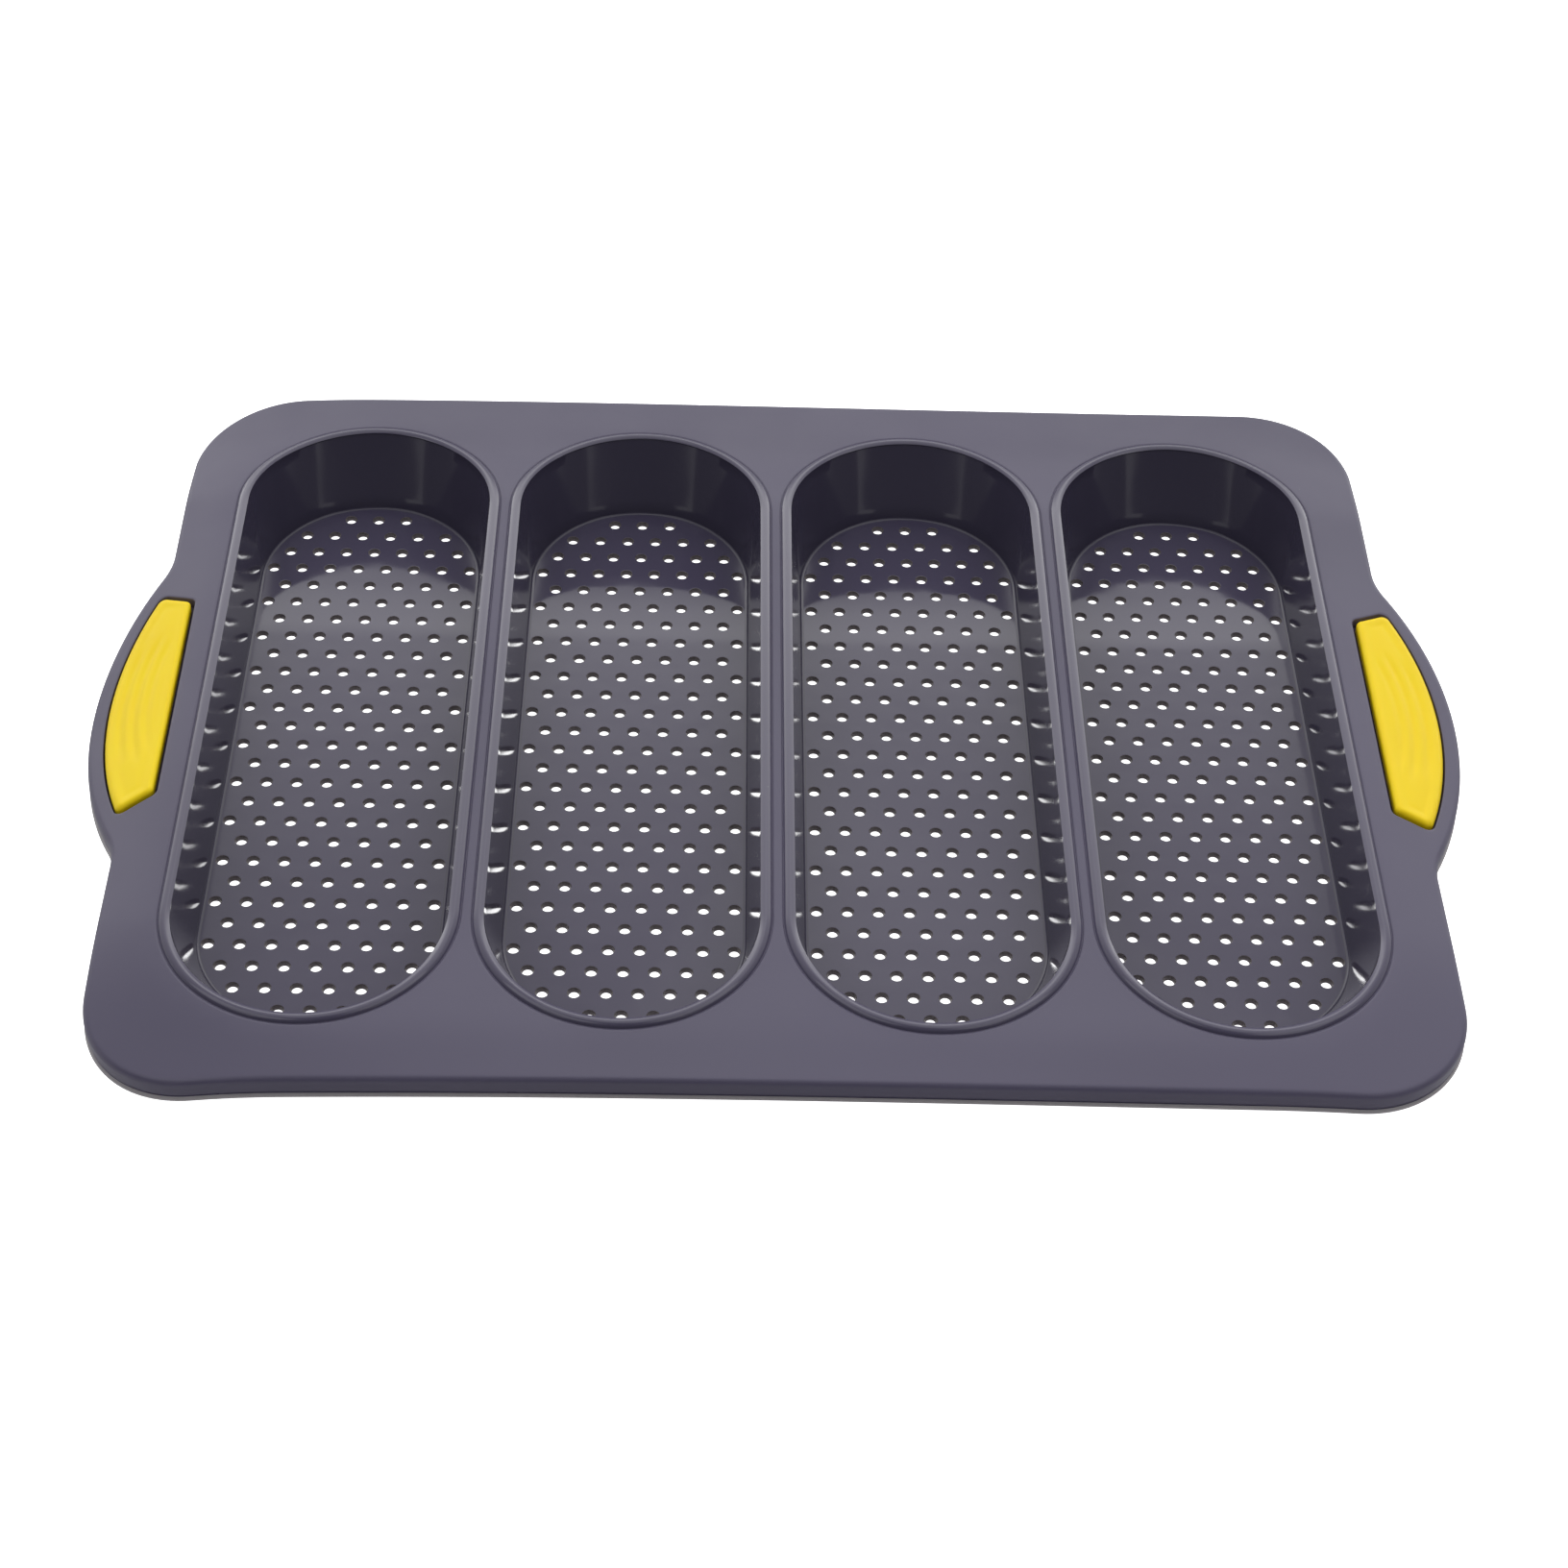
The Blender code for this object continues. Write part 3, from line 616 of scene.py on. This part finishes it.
def silicone(name, base, rough, rough_var, bump, wave, spec=0.5, end_dip=0.0):
    """Moulded silicone: faint mottling of the colour, uneven gloss, fine mould
    texture, slight waviness of the soft surface, and a few specks of dust."""
    m, nt, bsdf = new_mat(name)
    tc = nt.nodes.new("ShaderNodeTexCoord")
    obj = tc.outputs["Object"]

    def noise_tex(scale, detail=3.0, rough_=0.5, dist=0.0):
        t = node(nt, "ShaderNodeTexNoise", Scale=scale, Detail=detail, Roughness=rough_, Distortion=dist)
        nt.links.new(obj, t.inputs["Vector"])
        return t.outputs["Fac"]
    big, fine = noise_tex(9.0, 2.0), noise_tex(420.0, 4.0, 0.6)
    lo = tuple(c * 0.94 for c in base)
    hi = tuple(min(1.0, c * 1.06) for c in base)
    col = ramp(nt, big, [(0.3, lo), (0.7, hi)])
    # dust: sparse pale specks
    vor = node(nt, "ShaderNodeTexVoronoi", Scale=75.0, Randomness=1.0)
    nt.links.new(obj, vor.inputs["Vector"])
    dot = ramp(nt, vor.outputs["Distance"], [(0.010, 1.0), (0.022, 0.0)])
    pick = node(nt, "ShaderNodeTexWhiteNoise")
    nt.links.new(vor.outputs["Position"], pick.inputs["Vector"])
    few = ramp(nt, pick.outputs["Value"], [(0.93, 0.0), (0.95, 1.0)])
    mul = nt.nodes.new("ShaderNodeMath")
    mul.operation = "MULTIPLY"
    nt.links.new(dot, mul.inputs[0])
    nt.links.new(few, mul.inputs[1])
    mul2 = nt.nodes.new("ShaderNodeMath")
    mul2.operation = "MULTIPLY"
    nt.links.new(mul.outputs[0], mul2.inputs[0])
    mul2.inputs[1].default_value = 0.55
    mix = nt.nodes.new("ShaderNodeMix")
    mix.data_type = "RGBA"
    nt.links.new(mul2.outputs[0], mix.inputs[0])
    nt.links.new(col, mix.inputs[6])
    mix.inputs[7].default_value = (0.42, 0.42, 0.44, 1.0)
    nt.links.new(mix.outputs[2], bsdf.inputs["Base Color"])
    # gloss
    rr = nt.nodes.new("ShaderNodeMapRange")
    rr.inputs["From Min"].default_value = 0.30
    rr.inputs["From Max"].default_value = 0.70
    rr.inputs["To Min"].default_value = rough - rough_var
    rr.inputs["To Max"].default_value = rough + rough_var
    nt.links.new(noise_tex(24.0, 4.0, 0.6), rr.inputs["Value"])
    nt.links.new(rr.outputs[0], bsdf.inputs["Roughness"])
    bsdf.inputs["Specular IOR Level"].default_value = spec
    bsdf.inputs["IOR"].default_value = 1.43
    # relief
    b1 = node(nt, "ShaderNodeBump", Strength=wave[0], Distance=wave[1])
    nt.links.new(noise_tex(wave[2], 1.0, 0.4), b1.inputs["Height"])
    b2 = node(nt, "ShaderNodeBump", Strength=bump[0], Distance=bump[1])
    nt.links.new(fine, b2.inputs["Height"])
    nt.links.new(b1.outputs[0], b2.inputs["Normal"])
    if end_dip:
        # dimpling between the perforations, and a floor that dips towards the far end
        b3 = node(nt, "ShaderNodeBump", Strength=0.45, Distance=0.00010)
        nt.links.new(noise_tex(118.0, 1.0, 0.4), b3.inputs["Height"])
        sep = nt.nodes.new("ShaderNodeSeparateXYZ")
        nt.links.new(obj, sep.inputs[0])
        squares = []
        for start in (0.046, 0.072):
            d = math_node(nt, "MAXIMUM", math_node(nt, "SUBTRACT", sep.outputs[1], start), 0.0)
            squares.append(math_node(nt, "MULTIPLY", d, d))
        dip = math_node(nt, "MULTIPLY", math_node(nt, "SUBTRACT", squares[1], squares[0]), 1.0 / 0.052)
        out = math_node(nt, "MULTIPLY", math_node(nt, "ABSOLUTE", sep.outputs[0]), 0.40)
        dip = math_node(nt, "MULTIPLY", dip, math_node(nt, "SUBTRACT", end_dip, out))
        b4 = node(nt, "ShaderNodeBump", Strength=1.0, Distance=1.0)
        nt.links.new(dip, b4.inputs["Height"])
        nt.links.new(b4.outputs[0], b3.inputs["Normal"])
        nt.links.new(b3.outputs[0], b1.inputs["Normal"])
    nt.links.new(b2.outputs[0], bsdf.inputs["Normal"])
    return m


BASE = (0.087, 0.0775, 0.129)
mat_satin = silicone("silicone_satin", BASE, 0.40, 0.04, (0.10, 0.00006), (0.10, 0.0010, 22.0), spec=0.50)
# well walls: the tray's silicone colour scaled to 0.56, painted shade for the inside of the wells
mat_wall_painted_shade = silicone("silicone_wall_painted_shade", tuple(c * 0.56 for c in BASE), 0.12, 0.03, (0.015, 0.00003), (0.10, 0.0010, 26.0), spec=0.5)
mat_under = silicone("silicone_underside", BASE, 0.38, 0.05, (0.08, 0.00006), (0.10, 0.0010, 20.0), spec=0.45)
mat_hole = silicone("silicone_hole", (0.100, 0.086, 0.092), 0.55, 0.05, (0.02, 0.00003), (0.05, 0.0010, 26.0), spec=0.20)
mat_side = silicone("silicone_side", BASE, 0.30, 0.05, (0.08, 0.00005), (0.10, 0.0010, 22.0), spec=0.50)
mat_bead = silicone("silicone_bead", tuple(c * 0.9 for c in BASE), 0.12, 0.03, (0.03, 0.00004), (0.06, 0.0010, 26.0), spec=0.70)
# well floors: a darker copy of the tray's silicone colour, painted shade for the bottom of the wells
mat_floor_painted_shade = silicone("silicone_floor_painted_shade", (0.062, 0.054, 0.094), 0.09, 0.02, (0.015, 0.00003), (0.08, 0.0010, 26.0), spec=0.5, end_dip=0.185)
# rolled lower edge of the lip: pale grey, a painted reflection of the white floor
mat_edge_painted_reflection = silicone("silicone_edge_painted_reflection", (0.34, 0.32, 0.34), 0.35, 0.05, (0.08, 0.00005), (0.10, 0.0010, 22.0), spec=0.60)


def yellow_mat(name):
    m, nt, bsdf = new_mat(name)
    tc = nt.nodes.new("ShaderNodeTexCoord")
    t1 = node(nt, "ShaderNodeTexNoise", Scale=30.0, Detail=3.0, Roughness=0.5)
    nt.links.new(tc.outputs["Object"], t1.inputs["Vector"])
    col = ramp(nt, t1.outputs["Fac"], [(0.3, (0.99, 0.705, 0.003)), (0.7, (1.0, 0.745, 0.005))])
    nt.links.new(col, bsdf.inputs["Base Color"])
    t2 = node(nt, "ShaderNodeTexNoise", Scale=600.0, Detail=4.0, Roughness=0.6)
    nt.links.new(tc.outputs["Object"], t2.inputs["Vector"])
    rr = nt.nodes.new("ShaderNodeMapRange")
    rr.inputs["To Min"].default_value = 0.42
    rr.inputs["To Max"].default_value = 0.54
    nt.links.new(t1.outputs["Fac"], rr.inputs["Value"])
    nt.links.new(rr.outputs[0], bsdf.inputs["Roughness"])
    bp = node(nt, "ShaderNodeBump", Strength=0.10, Distance=0.00006)
    nt.links.new(t2.outputs["Fac"], bp.inputs["Height"])
    nt.links.new(bp.outputs[0], bsdf.inputs["Normal"])
    bsdf.inputs["Subsurface Weight"].default_value = 0.10
    bsdf.inputs["Subsurface Radius"].default_value = (0.0016, 0.0010, 0.0003)
    bsdf.inputs["Subsurface Scale"].default_value = 1.0
    bsdf.inputs["Specular IOR Level"].default_value = 0.22
    return m


def steel_mat():
    m, nt, bsdf = new_mat("drawn_steel")
    tc = nt.nodes.new("ShaderNodeTexCoord")
    t1 = node(nt, "ShaderNodeTexNoise", Scale=220.0, Detail=4.0, Roughness=0.6)
    nt.links.new(tc.outputs["Object"], t1.inputs["Vector"])
    col = ramp(nt, t1.outputs["Fac"], [(0.3, (0.50, 0.50, 0.49)), (0.7, (0.64, 0.64, 0.62))])
    nt.links.new(col, bsdf.inputs["Base Color"])
    rr = nt.nodes.new("ShaderNodeMapRange")
    rr.inputs["To Min"].default_value = 0.22
    rr.inputs["To Max"].default_value = 0.38
    nt.links.new(t1.outputs["Fac"], rr.inputs["Value"])
    nt.links.new(rr.outputs[0], bsdf.inputs["Roughness"])
    bsdf.inputs["Metallic"].default_value = 1.0
    return m


# --------------------------------------------------------------------- pieces
tray = make_tray([mat_satin, mat_wall_painted_shade, mat_under, mat_hole, mat_side, mat_bead, mat_floor_painted_shade, mat_edge_painted_reflection])
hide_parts("tray_body")
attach(tray, "root")

wire = make_wire(steel_mat())
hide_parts("rim_wire")
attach(wire, "root")

for gname, gnode, gside in (("grip_left", "left_grip", -1), ("grip_right", "right_grip", 1)):
    g = make_grip(gname, gside, yellow_mat("grip_silicone_" + gname))
    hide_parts(gnode)
    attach(g, "root")

# ---------------------------------------------------------------------- stage
me = bpy.data.meshes.new("stage_floor")
S = 6.0
me.from_pydata([(-S, -S, -0.0004), (S, -S, -0.0004), (S, S, -0.0004), (-S, S, -0.0004)], [], [(0, 1, 2, 3)])
floor = bpy.data.objects.new("stage_floor", me)
bpy.context.scene.collection.objects.link(floor)
m, nt, bsdf = new_mat("stage_white")
bsdf.inputs["Base Color"].default_value = (0.86, 0.86, 0.86, 1)
bsdf.inputs["Roughness"].default_value = 0.6
bsdf.inputs["Specular IOR Level"].default_value = 0.2
bsdf.inputs["Emission Color"].default_value = (1, 1, 1, 1)

lp = nt.nodes.new("ShaderNodeLightPath")
nt.links.new(math_node(nt, "MULTIPLY", lp.outputs["Is Camera Ray"], 1.3), bsdf.inputs["Emission Strength"])
me.materials.append(m)

# studio: bright behind and above, dim in front, plain white to the camera
world = bpy.data.worlds.new("studio")
bpy.context.scene.world = world
world.use_nodes = True
wn = world.node_tree
bg = wn.nodes["Background"]
out = wn.nodes["World Output"]
wtc = wn.nodes.new("ShaderNodeTexCoord")
wsep = wn.nodes.new("ShaderNodeSeparateXYZ")
wn.links.new(wtc.outputs["Generated"], wsep.inputs[0])
along = math_node(wn, "MULTIPLY_ADD", wsep.outputs[1], 0.5)
along.node.inputs[2].default_value = 0.5
LIGHT_MAX = 3.0
sky = ramp(wn, along, [(p, v / LIGHT_MAX) for p, v in (
    (0.0, 0.07), (0.36, 0.16), (0.50, 0.50), (0.75, 0.85), (0.82, 1.20), (0.854, 1.85), (0.888, 3.00),
    (0.93, 2.15), (0.975, 0.70), (1.0, 0.50))])
wn.links.new(sky, bg.inputs["Color"])
bg.inputs["Strength"].default_value = LIGHT_MAX
white = wn.nodes.new("ShaderNodeBackground")
white.inputs["Color"].default_value = (1, 1, 1, 1)
white.inputs["Strength"].default_value = 1.0
wlp = wn.nodes.new("ShaderNodeLightPath")
wmix = wn.nodes.new("ShaderNodeMixShader")
wn.links.new(wlp.outputs["Is Camera Ray"], wmix.inputs[0])
wn.links.new(bg.outputs[0], wmix.inputs[1])
wn.links.new(white.outputs[0], wmix.inputs[2])
wn.links.new(wmix.outputs[0], out.inputs["Surface"])


def area(name, loc, target, size, power, color=(1, 1, 1), size_y=None):
    ld = bpy.data.lights.new(name, "AREA")
    ld.energy = power
    ld.color = color
    ld.size = size
    if size_y:
        ld.shape = "RECTANGLE"
        ld.size_y = size_y
    ob = bpy.data.objects.new(name, ld)
    bpy.context.scene.collection.objects.link(ob)
    ob.location = loc
    ob.rotation_euler = (Vector(target) - Vector(loc)).to_track_quat("-Z", "Y").to_euler()
    return ob


area("key_top", (0.25, 0.35, 1.5), (0, 0, 0), 1.4, 3.0)


def place(az, el, dist):
    az, el = math.radians(az), math.radians(el)
    return (dist * math.sin(az) * math.cos(el), -dist * math.cos(az) * math.cos(el), dist * math.sin(el))


for k, sx in (("left", -1), ("right", 1)):
    area("side_box_" + k, place(sx * 62, 52, 1.6), (0, 0, 0), 1.30, 3.4, size_y=0.90)
    area("front_card_" + k, place(sx * 45, 21, 2.0), (0, 0, 0), 0.55, 0.32, size_y=0.30)

# a soft light in the table under the wells; it only shows in gloss
under = area("under_wells", (0, 0, -0.0002), (0, 0, 1), 0.324, 0.68, size_y=0.224)
under.visible_camera = False
under.visible_diffuse = False

# --------------------------------------------------------------------- camera
cam_d = bpy.data.cameras.new("camera")
cam = bpy.data.objects.new("camera", cam_d)
bpy.context.scene.collection.objects.link(cam)
bpy.context.scene.camera = cam
cam_d.sensor_width = 36.0
cam_d.sensor_fit = "AUTO"
cam_d.lens = 68.34
cam_d.clip_start = 0.01
right = Vector((0.99951306, -0.00544239, 0.030725))
down = Vector((0.0179228, -0.7059013, -0.70808342))
fwd = Vector((0.02554249, 0.7082893, -0.70546002))
rot = Matrix((right, -down, -fwd)).transposed()
cam.matrix_world = Matrix.Translation(Vector((-0.0192, -0.6168, 0.6033))) @ rot.to_4x4()

sc = bpy.context.scene
sc.view_settings.view_transform = "Standard"
sc.view_settings.look = "None"
sc.view_settings.exposure = 0.0
sc.view_settings.gamma = 1.0
